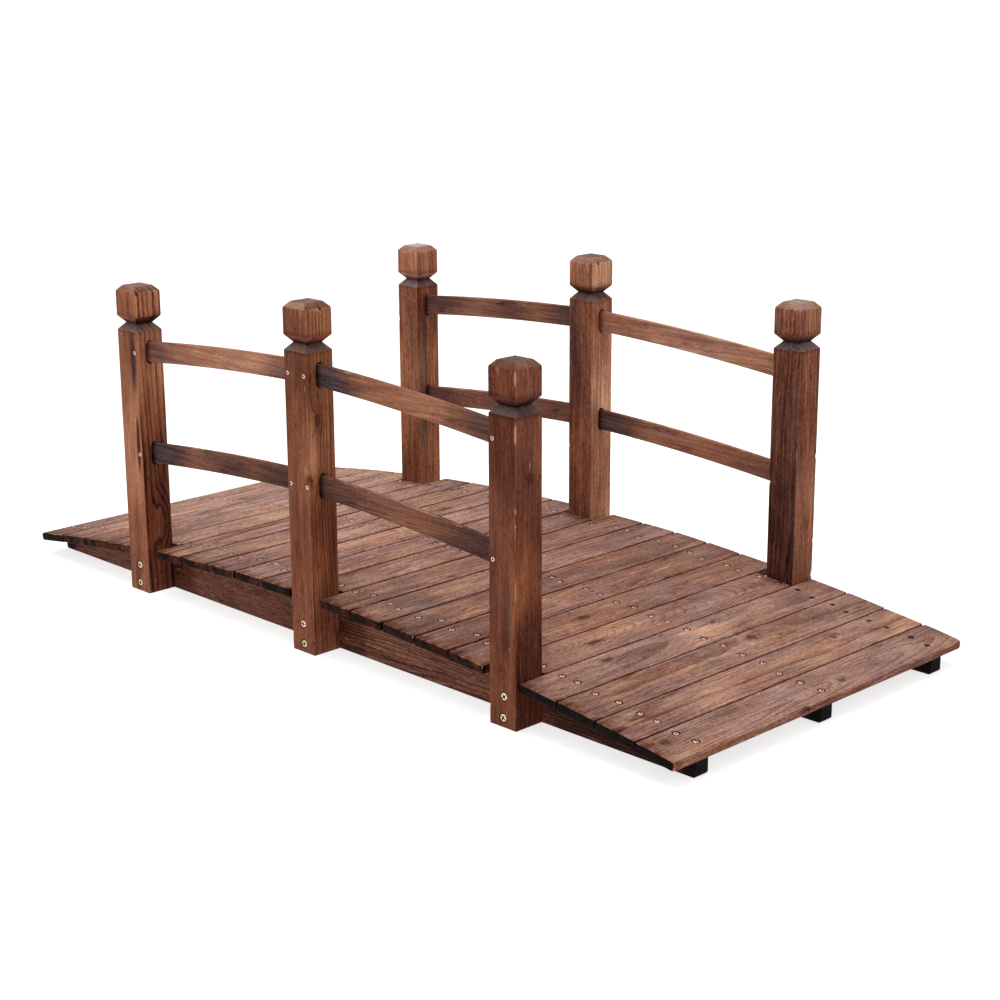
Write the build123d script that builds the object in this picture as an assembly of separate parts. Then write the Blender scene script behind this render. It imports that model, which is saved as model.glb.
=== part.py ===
from build123d import *
import math
import os

# An arched garden footbridge: three beams, twenty-one deck planks, six posts and eight rails.
# Millimetres. +X runs along the bridge, +Y across it and +Z up. The origin is on the ground
# under the middle of the deck. Front is the -Y side and left is the -X end.

# Arch of the deck
ARCH_RADIUS = 4958.0
CROWN_HEIGHT = 80.3

# Deck planks
PLANK_COUNT = 21
PLANK_WIDTH = 70.41
PLANK_GAP = 1.2
PLANK_THICKNESS = 14.0
DECK_WIDTH = 669.0
PLANK_ARRIS = 1.2
END_PLANK_ARRIS = 4.0

# Beams
BEAM_THICKNESS = 25.0
BEAM_LENGTH = 1489.0
BEAM_TOE_CHAMFER = 3.0

# Posts
BRIDGE_WIDTH = 672.0
POST_SIDE = 52.0
POST_SPACING = 438.0
END_POST_HEIGHT = 521.0
MIDDLE_POST_HEIGHT = 547.0
POST_ARRIS = 1.5

# Post heads
CAP_CHAMFER_HEIGHT = 9.5
CAP_CHAMFER_INSET = 9.0
HEAD_HEIGHT = 41.0
GROOVE_HALF_HEIGHT = 11.7
GROOVE_DEPTH = 10.6

# Rails and the mortises that hold them
RAIL_HEIGHT = 34.0
RAIL_THICKNESS = 8.0
RAIL_ARRIS = 0.8
MORTISE_HEIGHT = 39.5
MORTISE_WIDTH = 14.0
MORTISE_DEPTH = 16.0
UPPER_MORTISE_DROP = 109.5
LOWER_MORTISE_DROP = 280.5

# Clearance between the short planks and the posts
SHORT_PLANK_CLEARANCE = 1.0

# Values that follow from the ones above
PLANK_PITCH = PLANK_WIDTH + PLANK_GAP
PITCH_ANGLE = PLANK_PITCH / ARCH_RADIUS
ARCH_CENTRE_Z = CROWN_HEIGHT - ARCH_RADIUS
SEAT_RADIUS = ARCH_RADIUS * math.cos(PITCH_ANGLE / 2)
POST_CENTRE_Y = (BRIDGE_WIDTH - POST_SIDE) / 2
POST_INNER_Y = BRIDGE_WIDTH / 2 - POST_SIDE
OUTER_BEAM_Y = POST_INNER_Y - BEAM_THICKNESS / 2
SHORT_PLANK_LENGTH = 2 * (POST_INNER_Y - SHORT_PLANK_CLEARANCE)

SIDES = {"front": -1, "back": 1}
STATIONS = {"left": -1, "middle": 0, "right": 1}
LEVELS = {"upper": UPPER_MORTISE_DROP, "lower": LOWER_MORTISE_DROP}


def arch_point(steps):
    """Point (x, z) of the beams' top, counted in plank steps from the crown."""
    angle = steps * PITCH_ANGLE
    return ARCH_RADIUS * math.sin(angle), ARCH_CENTRE_Z + ARCH_RADIUS * math.cos(angle)


def make_beam(centre_y):
    """A beam with a flat bottom, and a top cut as one flat seat for each plank."""
    half_count = PLANK_COUNT / 2
    seats = [arch_point(step - half_count) for step in range(PLANK_COUNT + 1)]
    left, right = seats[0][0], seats[-1][0]
    side = Plane.XZ * make_face(Polyline((left, 0), *seats, (right, 0), close=True))
    beam = extrude(side, amount=BEAM_THICKNESS / 2, both=True)
    beam &= Box(BEAM_LENGTH, BEAM_THICKNESS, 2 * CROWN_HEIGHT)
    toes = beam.edges().filter_by(Axis.Y).group_by(Axis.Z)[0]
    return Pos(0, centre_y, 0) * chamfer(toes, BEAM_TOE_CHAMFER)


def make_plank(number, length):
    """A straight board that lies flat on its seat of the arch; number 0 is at the crown."""
    board = Box(PLANK_WIDTH, length, PLANK_THICKNESS)
    outermost = abs(number) == PLANK_COUNT // 2
    if outermost:
        edges_by_x = board.edges().filter_by(Axis.Y).group_by(Axis.X)
        outer_edges = edges_by_x[-1] if number > 0 else edges_by_x[0]
        board = fillet(outer_edges, END_PLANK_ARRIS)
    sharp_edges = board.edges().filter_by(GeomType.LINE)
    if outermost:
        sharp_edges = sharp_edges.filter_by(Axis.Y).group_by(Axis.X)
        sharp_edges = sharp_edges[0] if number > 0 else sharp_edges[-1]
    board = fillet(sharp_edges, PLANK_ARRIS)
    angle = number * PITCH_ANGLE
    radius = SEAT_RADIUS + PLANK_THICKNESS / 2
    x = radius * math.sin(angle)
    z = ARCH_CENTRE_Z + radius * math.cos(angle)
    return Pos(x, 0, z) * Rot(0, math.degrees(angle), 0) * board


def post_height(station):
    return MIDDLE_POST_HEIGHT if station == 0 else END_POST_HEIGHT


def make_mortise(station, height, toward):
    """The router-cut slot in one face of a post; toward is +1 for the face at +X."""
    face_x = station * POST_SPACING + toward * POST_SIDE / 2
    slot = Plane.YZ * Rot(0, 0, 90) * SlotOverall(MORTISE_HEIGHT, MORTISE_WIDTH)
    return Pos(face_x, 0, height) * extrude(slot, amount=MORTISE_DEPTH, both=True)


def make_post(station, side):
    """A square post with a chamfered cap, a V-groove under its head and mortises for rails."""
    height = post_height(station)
    half = POST_SIDE / 2
    cap_edge = height - CAP_CHAMFER_HEIGHT
    head_foot = cap_edge - HEAD_HEIGHT
    groove_floor = head_foot - GROOVE_HALF_HEIGHT
    shoulder = groove_floor - GROOVE_HALF_HEIGHT
    right_outline = [
        (half, 0),
        (half, shoulder),
        (half - GROOVE_DEPTH, groove_floor),
        (half, head_foot),
        (half, cap_edge),
        (half - CAP_CHAMFER_INSET, height),
    ]
    left_outline = [(-x, z) for x, z in reversed(right_outline)]
    outline = make_face(Polyline(*right_outline, *left_outline, close=True))
    across_y = extrude(Plane.XZ * outline, amount=POST_SIDE, both=True)
    across_x = extrude(Plane.YZ * outline, amount=POST_SIDE, both=True)
    post = extrude(RectangleRounded(POST_SIDE, POST_SIDE, POST_ARRIS), amount=height)
    post = Pos(station * POST_SPACING, 0, 0) * (post & across_y & across_x)
    for drop in LEVELS.values():
        for toward in (-1, 1):
            if station != toward:
                post -= make_mortise(station, height - drop, toward)
    return Pos(0, side * POST_CENTRE_Y, 0) * post


def make_rail(station, side, drop):
    """A thin curved slat between the middle post and the end post at this station."""
    inset = POST_SIDE / 2 - MORTISE_DEPTH
    bearing = POST_SIDE / 2 - MORTISE_DEPTH / 2
    inner = Vector(bearing, MIDDLE_POST_HEIGHT - drop)
    outer = Vector(POST_SPACING - bearing, END_POST_HEIGHT - drop)
    chord = outer - inner
    rise_over_centre = math.sqrt(ARCH_RADIUS**2 - (chord.length / 2) ** 2)
    downward = Vector(chord.Y, -chord.X).normalized()
    centre = (inner + outer) * 0.5 + downward * rise_over_centre
    hoop = Circle(ARCH_RADIUS + RAIL_HEIGHT / 2) - Circle(ARCH_RADIUS - RAIL_HEIGHT / 2)
    span = Rectangle(POST_SPACING - 2 * inset, MIDDLE_POST_HEIGHT)
    outline = Pos(centre.X, centre.Y) * hoop & Pos(POST_SPACING / 2, MIDDLE_POST_HEIGHT / 2) * span
    rail = extrude(Plane.XZ * outline, amount=RAIL_THICKNESS / 2, both=True)
    rail = chamfer(rail.edges().filter_by(GeomType.CIRCLE), RAIL_ARRIS)
    if station < 0:
        rail = mirror(rail, Plane.YZ)
    return Pos(0, side * POST_CENTRE_Y, 0) * rail


def build_nodes():
    nodes = {}
    nodes["front_beam"] = make_beam(-OUTER_BEAM_Y)
    nodes["middle_beam"] = make_beam(0)
    nodes["back_beam"] = make_beam(OUTER_BEAM_Y)
    posted = [round(station * POST_SPACING / PLANK_PITCH) for station in STATIONS.values()]
    for index in range(PLANK_COUNT):
        number = index - PLANK_COUNT // 2
        length = SHORT_PLANK_LENGTH if number in posted else DECK_WIDTH
        nodes[f"plank_{index + 1:02d}"] = make_plank(number, length)
    for side_name, side in SIDES.items():
        for station_name, station in STATIONS.items():
            nodes[f"post_{side_name}_{station_name}"] = make_post(station, side)
            if station == 0:
                continue
            for level_name, drop in LEVELS.items():
                name = f"rail_{side_name}_{station_name}_{level_name}"
                nodes[name] = make_rail(station, side, drop)
    return nodes


os.makedirs("parts", exist_ok=True)
for node_name, solid in build_nodes().items():
    export_step(solid, f"parts/{node_name}.step")
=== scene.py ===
import math
import random
from collections import namedtuple
from functools import reduce
from types import SimpleNamespace

import bmesh
import bpy
from mathutils import Matrix, Vector, noise


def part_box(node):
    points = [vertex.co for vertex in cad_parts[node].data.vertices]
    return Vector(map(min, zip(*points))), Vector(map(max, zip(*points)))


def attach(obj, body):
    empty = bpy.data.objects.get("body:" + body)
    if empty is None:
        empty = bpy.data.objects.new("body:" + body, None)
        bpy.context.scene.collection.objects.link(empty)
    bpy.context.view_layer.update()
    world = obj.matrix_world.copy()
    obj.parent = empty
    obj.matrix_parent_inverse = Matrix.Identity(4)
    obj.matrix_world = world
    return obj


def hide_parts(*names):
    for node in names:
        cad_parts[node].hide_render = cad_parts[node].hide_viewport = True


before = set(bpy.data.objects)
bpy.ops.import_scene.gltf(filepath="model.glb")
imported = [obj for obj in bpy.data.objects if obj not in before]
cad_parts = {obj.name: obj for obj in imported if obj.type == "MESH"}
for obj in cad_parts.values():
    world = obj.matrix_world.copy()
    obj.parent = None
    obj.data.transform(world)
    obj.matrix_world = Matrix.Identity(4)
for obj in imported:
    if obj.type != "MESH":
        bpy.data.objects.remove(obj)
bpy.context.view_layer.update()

# ---------------------------------------------------------------- names and sizes, in metres
PLANKS = [f"plank_{i:02d}" for i in range(1, 22)]
SIDES = ("front", "back")
STATIONS = ("left", "middle", "right")
HEAD_TOP = 0.0505                       # a post's head: cap chamfer and block
CAP_CHAMFER = 0.0095
GROOVE = 0.0234                         # the V-groove under it

# Light on a white sheet facing up and facing sideways. Colours are given as they look, and
# divided by this light to get the wood's own colour.
LIGHT_UP = 1.50
LIGHT_ACROSS = 1.22
TONE_RANGE = 220.0                      # a tone of 1 is this luminance, out of 255
WOOD_SPECULAR = 0.06


def linear(c):
    c /= 255.0
    return c / 12.92 if c <= 0.04045 else ((c + 0.055) / 1.055) ** 2.4


def srgb(r, g, b):
    """A colour given as 0-255 numbers, made linear."""
    return (linear(r), linear(g), linear(b), 1.0)


def tone(luminance):
    return luminance / TONE_RANGE


# Wood colours from darkest to lightest, for each kind of timber and for end grain
TONES = {
    "post": ((20, 9, 7), (38, 14, 9), (60, 27, 18), (83, 40, 26), (98, 51, 34), (110, 60, 40),
             (127, 74, 51), (153, 97, 70), (180, 123, 91), (214, 168, 130)),
    "deck": ((30, 11, 5), (60, 24, 12), (86, 41, 23), (105, 61, 42), (122, 79, 61),
             (137, 95, 78), (150, 111, 95), (163, 125, 109), (182, 142, 123), (212, 169, 143)),
    "rail": ((30, 15, 10), (65, 41, 34), (95, 59, 48), (108, 69, 54), (122, 78, 60),
             (136, 88, 68), (153, 103, 78), (175, 123, 97), (208, 164, 134)),
    "beam": ((16, 8, 6), (41, 17, 10), (56, 29, 20), (77, 39, 28), (89, 48, 36), (99, 56, 43),
             (117, 74, 57), (154, 111, 88), (190, 150, 126)),
}
END_TONES = ((44, 26, 22), (84, 58, 52), (112, 88, 81), (134, 114, 107), (160, 142, 134),
             (186, 170, 160))


# ---------------------------------------------------------------- wiring shader nodes
class Field:
    """A number, vector or colour that varies over a surface. Arithmetic on it adds nodes."""

    def __init__(self, w, socket):
        self.w = w
        self.socket = socket

    def __add__(self, other):
        return self.w.math("ADD", self, other)

    def __sub__(self, other):
        return self.w.math("SUBTRACT", self, other)

    def __rsub__(self, other):
        return self.w.math("SUBTRACT", other, self)

    def __mul__(self, other):
        return self.w.math("MULTIPLY", self, other)

    def __truediv__(self, other):
        return self.w.math("DIVIDE", self, other)

    def __rtruediv__(self, other):
        return self.w.math("DIVIDE", other, self)

    def __abs__(self):
        return self.w.math("ABSOLUTE", self)

    __radd__ = __add__
    __rmul__ = __mul__

    def ramp(self, start, end, low=0.0, high=1.0, kind="SMOOTHSTEP"):
        """Smooth step from low at start to high at end; start may be above end."""
        return self.w.field("MapRange", self, start, end, low, high, interpolation_type=kind)

    def line(self, *span):
        """The same in a straight line."""
        return self.ramp(*span, kind="LINEAR")

    def window(self, start, full, still_full, end):
        """1 in the middle of a range and 0 outside it."""
        return self.ramp(start, full) * self.ramp(end, still_full)

    def steps(self, *points):
        """A smooth curve through points (place, value)."""
        total = points[0][1]
        for (x0, v0), (x1, v1) in zip(points, points[1:]):
            total += self.ramp(x0, x1, 0.0, v1 - v0)
        return total


class Wiring:
    """Adds nodes to a tree. Every input is a field or a plain value."""

    def __init__(self, tree):
        self.tree = tree

    def put(self, socket, value):
        if isinstance(value, Field):
            self.tree.links.new(value.socket, socket)
        elif value is not None:
            socket.default_value = value

    def node(self, kind, *values, **settings):
        n = self.tree.nodes.new("ShaderNode" + kind)
        for key, value in settings.items():
            setattr(n, key, value)
        for i, value in enumerate(values):
            self.put(n.inputs[i], value)
        return n

    def field(self, kind, *values, out=0, **settings):
        return Field(self, self.node(kind, *values, **settings).outputs[out])

    def named(self, sockets):
        """Fields by their sockets' names. A group's spare input socket has none."""
        return SimpleNamespace(**{s.name: Field(self, s) for s in sockets if s.name})

    def math(self, operation, *values):
        return self.field("Math", *values, operation=operation)

    def high(self, *values):
        return reduce(lambda a, b: self.math("MAXIMUM", a, b), values)

    def vec(self, operation, *values, scale=None):
        n = self.node("VectorMath", *values, operation=operation)
        self.put(n.inputs[3], scale)        # it can't be asked for by name until it is in use
        return Field(self, n.outputs["Vector"])

    def length(self, v):
        return self.field("VectorMath", v, out="Value", operation="LENGTH")

    def split(self, v):
        return [Field(self, out) for out in self.node("SeparateXYZ", v).outputs]

    def noise(self, v, scale, detail=2.0, rough=0.5, out="Fac"):
        n = self.node("TexNoise", v)
        for key, value in (("Scale", scale), ("Detail", detail), ("Roughness", rough)):
            n.inputs[key].default_value = value
        return Field(self, n.outputs[out])

    def grain(self, v, across, along, detail=2.0, rough=0.55):
        """Noise drawn out along local Z, about -1 to 1; across and along are per metre."""
        drawn = self.vec("MULTIPLY", v, (across, across, along))
        return (self.noise(drawn, 1.0, detail, rough) - 0.5) * 5.0

    def mix(self, factor, a, b, blend="MIX"):
        """Two colours mixed. They are the node's inputs 6 and 7, and 2 is its colour output."""
        n = self.node("Mix", factor, data_type="RGBA", blend_type=blend)
        for i, colour in ((6, a), (7, b)):
            self.put(n.inputs[i], colour)
        return Field(self, n.outputs[2])

    def tones(self, value, colours):
        """A colour for each tone, in steps of luminance."""
        n = self.node("ValToRGB", value)
        bar = n.color_ramp.elements
        for i, c in enumerate(colours):
            place = tone(0.299 * c[0] + 0.587 * c[1] + 0.114 * c[2])
            stop = bar[i] if i < 2 else bar.new(place)
            stop.position = place
            stop.color = srgb(*c)
        return Field(self, n.outputs[0])

    def group(self, tree, **values):
        """A group's node. Returns its outputs by name."""
        n = self.node("Group", node_tree=tree)
        for key, value in values.items():
            self.put(n.inputs[key], value)
        return self.named(n.outputs)

    def surface(self, colour, roughness, height=None, strength=1.0, distance=0.001, **fixed):
        """A principled surface with a bump. What is fixed is set on the shader's own sockets."""
        shader = self.node("BsdfPrincipled")
        for key, value in dict(Base_Color=colour, Roughness=roughness, **fixed).items():
            self.put(shader.inputs[key.replace("_", " ")], value)
        if height is not None:
            relief = self.node("Bump")
            for key, value in (("Strength", strength), ("Distance", distance), ("Height", height)):
                self.put(relief.inputs[key], value)
            self.put(shader.inputs["Normal"], Field(self, relief.outputs[0]))
        self.node("OutputMaterial", Field(self, shader.outputs[0]))


def new_material(name):
    material = bpy.data.materials.new(name)
    material.use_nodes = True
    material.node_tree.nodes.clear()
    return material, Wiring(material.node_tree)


def new_group(name, vectors, numbers, results):
    """A node group with these sockets. Returns its wiring and its inputs by name."""
    tree = bpy.data.node_groups.new(name, "ShaderNodeTree")
    for way, kind, keys in (("INPUT", "Vector", vectors), ("INPUT", "Float", numbers),
                            ("OUTPUT", "Float", results)):
        for key in keys.split():
            tree.interface.new_socket(
                key, in_out=way, socket_type="NodeSocket" + ("Color" if key == "Colour" else kind))
    w = Wiring(tree)
    return w, w.named(tree.nodes.new("NodeGroupInput").outputs)


def end_group(w, **results):
    ends = w.tree.nodes.new("NodeGroupOutput").inputs
    for key, value in results.items():
        w.put(ends[key], value)
    return w.tree


# ---------------------------------------------------------------- timber
def build_knot_group():
    """A knot: how far it pushes the rings aside, its core, its dark rim and the halo round it."""
    w, given = new_group("knot", "Point Centre Stretch", "Radius", "Shift Core Gold Rim Halo")
    offset = w.vec("MULTIPLY", w.vec("SUBTRACT", given.Point, given.Centre), given.Stretch)
    ragged = w.noise(given.Point, 190.0, 3.0, 0.6)
    away = w.length(offset) / given.Radius + ragged.line(0.3, 0.7, -0.4, 0.4)
    return end_group(w, Shift=w.math("EXPONENT", away * (away * -0.16)), Core=away.ramp(1.05, 0.6),
                     Gold=away.window(0.15, 0.6, 0.75, 1.35), Rim=away.window(0.7, 1.0, 1.05, 1.4),
                     Halo=away.ramp(3.2, 0.9))


FIGURE_VECTORS = "Point Pith Lean Seed"
FIGURE_NUMBERS = "Spacing Shift"
PITH_START = 1.0        # the pith is where it is given this far before a piece's middle


def build_figure_group():
    """The figure of softwood: growth rings round a pith that runs along local Z.

    Lean is how far the pith strays, for each metre along.
    """
    w, given = new_group("figure", FIGURE_VECTORS, FIGURE_NUMBERS, "Late Ring")
    seeded = w.vec("ADD", given.Point, given.Seed)
    _, _, z = w.split(given.Point)
    centre = w.vec("SUBTRACT", given.Pith, w.vec("SCALE", given.Lean, scale=z + PITH_START))
    across = w.vec("SUBTRACT", given.Point, centre)
    for wide, long, reach in ((7.0, 2.0, 0.022), (40.0, 8.0, 0.0032), (170.0, 26.0, 0.0008)):
        wave = w.noise(w.vec("MULTIPLY", seeded, (wide, wide, long)), 1.0, out="Color")
        bend = w.vec("SCALE", w.vec("SUBTRACT", wave, (0.5, 0.5, 0.5)), scale=reach)
        across = w.vec("ADD", across, bend)
    radius = w.length(w.vec("MULTIPLY", across, (1.0, 1.0, 0.0)))
    uneven = w.field("TexNoise", None, radius * 60.0, 1.0, noise_dimensions="1D")
    phase = radius / given.Spacing + uneven * 1.5 + given.Shift
    turn = w.math("FRACT", phase)
    fate = w.field("TexWhiteNoise", None, w.math("FLOOR", phase), noise_dimensions="1D")
    patchy = w.noise(w.vec("MULTIPLY", seeded, (60.0, 60.0, 14.0)), 1.0, 3.0, 0.6)
    strength = fate.line(0.0, 1.0, 0.3, 1.0) * patchy.ramp(0.3, 0.62, 0.25, 1.0)
    return end_group(w, Late=turn.window(0.52, 0.92, 0.95, 1.0) * strength, Ring=turn)


def wood_value(w, given, rings, seeded, g):
    """How light the wood is: its streaks and patches, then the dark latewood lines."""
    flecks = w.grain(seeded, 380.0, 75.0, 1.0)
    pebble = w.grain(seeded, 520.0, 150.0, 2.0, 0.6)
    blotch = w.grain(seeded, 72.0, 19.0, 3.0, 0.65) + g.narrow * 0.2
    dashes = w.grain(seeded, 210.0, 42.0, 1.0)
    value = given.Value + (g.narrow * 0.050 + g.broad * 0.036) * given.Streaks
    value += (g.fine * 0.052 + pebble * 0.044 + flecks.ramp(0.8, 1.4, 0.0, -0.13)
              + flecks.ramp(-0.8, -1.4, 0.0, 0.10)) * given.Fine
    value += (g.patch * 0.045 + g.drift * 0.030) * given.Patches
    value += (blotch.ramp(-0.6, -1.5, 0.0, 0.09) - blotch.ramp(0.55, 1.35, 0.0, 0.13)
              - dashes.ramp(1.05, 1.6, 0.0, 0.17)) * given.Patches
    value += rings.Ring.ramp(0.9, 0.1) * (given.Lines * 0.05)
    return value - rings.Late * 0.26 * given.Lines


def smoke_mask(w, given, seeded, g):
    """Where smoke has greyed the wood: in soft clouds, and where it is asked for."""
    clouds = w.grain(seeded, 18.0, 6.0, 3.0) + g.narrow * 0.22
    return w.high(clouds.ramp(0.05, 1.0) * given.Haze,
                  given.Smoke * g.broad.ramp(-1.2, 0.8, 0.55, 1.0))


def add_smoke(w, g, smoke, value, colour):
    colour = w.mix(smoke, colour, (0.50, 0.58, 0.68, 1.0), "MULTIPLY")
    grey = w.mix((value + g.fine * 0.05).line(tone(30), tone(150)), srgb(28, 21, 21),
                 srgb(125, 103, 103))
    thick = smoke * smoke
    return w.mix(thick * thick * 0.85, colour, grey)


def add_knots(w, given, g, colour):
    speckle = g.fine.line(-0.8, 0.8)
    dark_core = w.mix(speckle, srgb(46, 22, 15), srgb(112, 64, 42))
    gold_core = w.mix(speckle, srgb(158, 108, 72), srgb(204, 152, 106))
    for mask, inside in ((given.Core * 0.85, dark_core), (given.Gold * 0.6, gold_core),
                         (given.Rim * 0.75, srgb(62, 30, 20))):
        colour = w.mix(mask, colour, inside)
    return colour


def add_wear(w, given, seeded, g, colour):
    """Bare spots and worn arrises show the paler wood, broken up by the grain."""
    pale = w.mix(g.fine.line(-0.9, 0.9), srgb(176, 122, 86), srgb(226, 180, 138))
    bare = (given.Bare + g.narrow * 0.22).ramp(0.3, 0.8) * (given.Bare.ramp(0.0, 0.15) * 0.7)
    worn = w.grain(seeded, 26.0, 18.0, 4.0, 0.65) + g.fine * 0.25
    for mask in (bare, given.Wear * worn.ramp(0.15, 0.75)):
        colour = w.mix(mask, colour, pale)
    return colour


def build_timber_group(name, figure, colours):
    """Charred and brushed softwood: colour, roughness and height.

    Smoke is a grey scorch where it is asked for, and Haze is how much drifts over the rest.
    """
    w, given = new_group(name, FIGURE_VECTORS, FIGURE_NUMBERS + " Value Lines Streaks Fine Patches "
                         "Drift Smoke Haze Core Gold Rim Char Wear Bare End Light",
                         "Colour Roughness Height")
    rings = w.group(figure, **{key: getattr(given, key)
                               for key in (FIGURE_VECTORS + " " + FIGURE_NUMBERS).split()})
    seeded = w.vec("ADD", given.Point, given.Seed)
    g = SimpleNamespace(fine=w.grain(seeded, 640.0, 20.0, 3.0, 0.6),
                        narrow=w.grain(seeded, 230.0, 8.0, 3.0, 0.6),
                        broad=w.grain(seeded, 85.0, 4.5), patch=w.grain(seeded, 26.0, 9.0),
                        drift=w.grain(seeded, 15.0, 5.0))

    # scorching goes dark brown before it turns to soot
    burnt = (given.Char + g.narrow * 0.10).line(0.05, 0.95) * given.Char.ramp(0.0, 0.12)
    value = wood_value(w, given, rings, seeded, g) - burnt * 0.28
    tint = w.mix((g.drift + g.broad * 0.3).line(-1.1, 1.1), (0.91, 0.98, 1.26, 1.0),
                 (1.09, 0.97, 0.80, 1.0))
    colour = w.mix(given.Drift, w.tones(value, colours), tint, "MULTIPLY")
    smoke = smoke_mask(w, given, seeded, g)
    colour = add_smoke(w, g, smoke, value, colour)
    colour = add_knots(w, given, g, colour)
    colour = add_wear(w, given, seeded, g, colour)

    # end grain, then soot over everything
    end_value = (given.Value + g.patch * 0.08 - rings.Late * 0.14
                 + w.grain(seeded, 300.0, 300.0) * 0.05)
    colour = w.mix(given.End, colour, w.tones(end_value, END_TONES))
    soot = w.mix((g.narrow + g.broad).ramp(-1.4, 2.2), srgb(6, 3, 2), srgb(33, 20, 16))
    colour = w.mix(burnt.ramp(0.4, 0.95), colour, soot)

    rough = rings.Late.line(0.0, 1.0, 0.66, 0.50) + g.fine * 0.05 + w.high(smoke, burnt) * 0.10
    height = (rings.Late * (given.Lines * 0.22) + g.fine * 0.05 + g.narrow * 0.07
              + (given.Core + given.Gold) * 0.10 - given.Rim * 0.16
              + w.grain(seeded, 420.0, 330.0) * (burnt * 0.05))
    return end_group(w, Colour=w.vec("SCALE", colour, scale=1.0 / given.Light),
                     Roughness=w.math("MINIMUM", rough, 0.9), Height=height)


KNOT = build_knot_group()
FIGURE = build_figure_group()
TIMBER = {kind: build_timber_group("charred_" + kind, FIGURE, colours)
          for kind, colours in TONES.items()}
# What a piece of timber hands to its group; all but the place and the light start at 0
MARKS = ("point", "shift", "value", "smoke", "core", "gold", "rim", "char", "wear", "bare", "end",
         "light")


class TimberMaterial:
    """A material for one piece of timber, in that piece's own frame: Z runs along the grain."""

    def __init__(self, name, kind, centre, axes, seed):
        self.kind = kind
        self.rng = random.Random(seed)
        self.material, self.w = new_material(name)
        for mark in MARKS:
            setattr(self, mark, 0.0)
        turn = Matrix(axes).transposed().to_euler("XYZ")
        self.point = self.w.field("Mapping", self.w.field("TexCoord", out="Object"), centre, turn,
                                  vector_type="TEXTURE")
        self.x, self.y, self.z = self.w.split(self.point)
        normal = self.w.field("NewGeometry", out="True Normal")
        self.nx, self.ny, self.nz = self.w.split(normal)
        self.light = self.nz.ramp(0.2, 0.8, LIGHT_ACROSS, LIGHT_UP)

    def knot(self, centre, radius, stretch, golden=False, push=1.0, ring=1.0):
        w = self.w
        out = w.group(KNOT, Point=self.point, Centre=centre, Stretch=stretch, Radius=radius)
        self.shift += out.Shift * push
        if golden:
            self.gold = w.high(self.gold, out.Gold)
        self.core = w.high(self.core, out.Core * (0.3 if golden else 1.0))
        self.rim = w.high(self.rim, out.Rim * ring)
        self.value -= out.Halo * (0.05 * ring)

    def arrises(self):
        """1 on the eased edges, where the surface faces two ways at once."""
        return self.w.high(abs(self.nx), abs(self.ny), abs(self.nz)).ramp(0.985, 0.93)

    def away(self, centre, stretch=(1.0, 1.0, 1.0)):
        """How far a point is from a place, with each direction stretched."""
        offset = self.w.vec("SUBTRACT", self.point, centre)
        return self.w.length(self.w.vec("MULTIPLY", offset, stretch))

    def spot(self, centre, reach, strength=1.0, inner=0.2):
        """A soft ellipsoid mask round a place in the piece's own frame."""
        return self.away(centre, [1.0 / r for r in reach]).ramp(1.0, inner) * strength

    def finish(self, pith=None, lean=None, **looks):
        """The material. Its looks are the group's inputs that the marks don't cover."""
        rng = self.rng
        if pith is None:
            angle, reach = rng.uniform(0, 2 * math.pi), rng.uniform(0.045, 0.12)
            pith = (reach * math.cos(angle), reach * math.sin(angle), 0.0)
        if lean is None:
            lean = (rng.uniform(-0.025, 0.025), rng.uniform(-0.025, 0.025), 0.0)
        seed = tuple(rng.uniform(-40, 40) for _ in range(3))
        looks.update(pith=pith, lean=lean, seed=seed)
        looks.update((mark, getattr(self, mark)) for mark in MARKS)
        out = self.w.group(TIMBER[self.kind], **{k.capitalize(): v for k, v in looks.items()})
        self.w.surface(out.Colour, out.Roughness, out.Height, Specular_IOR_Level=WOOD_SPECULAR)
        return self.material


def dress(node, material):
    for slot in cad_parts[node].material_slots:
        slot.material = material


# ---------------------------------------------------------------- making pieces
def add_object(name, data):
    ob = bpy.data.objects.new(name, data)
    bpy.context.scene.collection.objects.link(ob)
    return ob


def add_mesh(name, mesh, materials=()):
    """An object in the scene from a bmesh."""
    data = bpy.data.meshes.new(name)
    mesh.to_mesh(data)
    mesh.free()
    for material in materials:
        data.materials.append(material)
    return add_object(name, data)


def new_piece(name, mesh, materials):
    """A piece of the visual model, riding on the part's one body."""
    piece = add_mesh(name, mesh, materials)
    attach(piece, "root")
    return piece


def carve(name, node, mesh, cutter_mesh, material):
    """A piece of timber that stands for a CAD node, with the cutter's holes cut out of it."""
    piece = new_piece(name, mesh, [material])
    cutter = add_mesh("cutter", cutter_mesh)
    cut = piece.modifiers.new("holes", "BOOLEAN")
    cut.operation = "DIFFERENCE"
    cut.solver = "EXACT"
    cut.object = cutter
    made = bpy.data.meshes.new_from_object(
        piece.evaluated_get(bpy.context.evaluated_depsgraph_get()))
    piece.modifiers.clear()
    piece.data = made
    made.name = name
    made.materials.clear()
    made.materials.append(material)
    bpy.data.objects.remove(cutter)
    made.shade_smooth()
    made.set_sharp_from_angle(angle=math.radians(40))
    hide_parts(node)


def wobble(*place):
    """Smooth noise from 0 to 1."""
    return 0.5 + 0.5 * noise.noise(Vector(place))


def chips(floor, *place):
    """Noise that is 0 in most places, and rises where it passes floor."""
    return max(0.0, noise.noise(Vector(place)) - floor)


def rounded_in(depth, radius):
    """How far a rounded edge stands back from its face, at a depth from its tip."""
    return radius - math.sqrt(radius ** 2 - (radius - depth) ** 2) if depth < radius else 0.0


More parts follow.
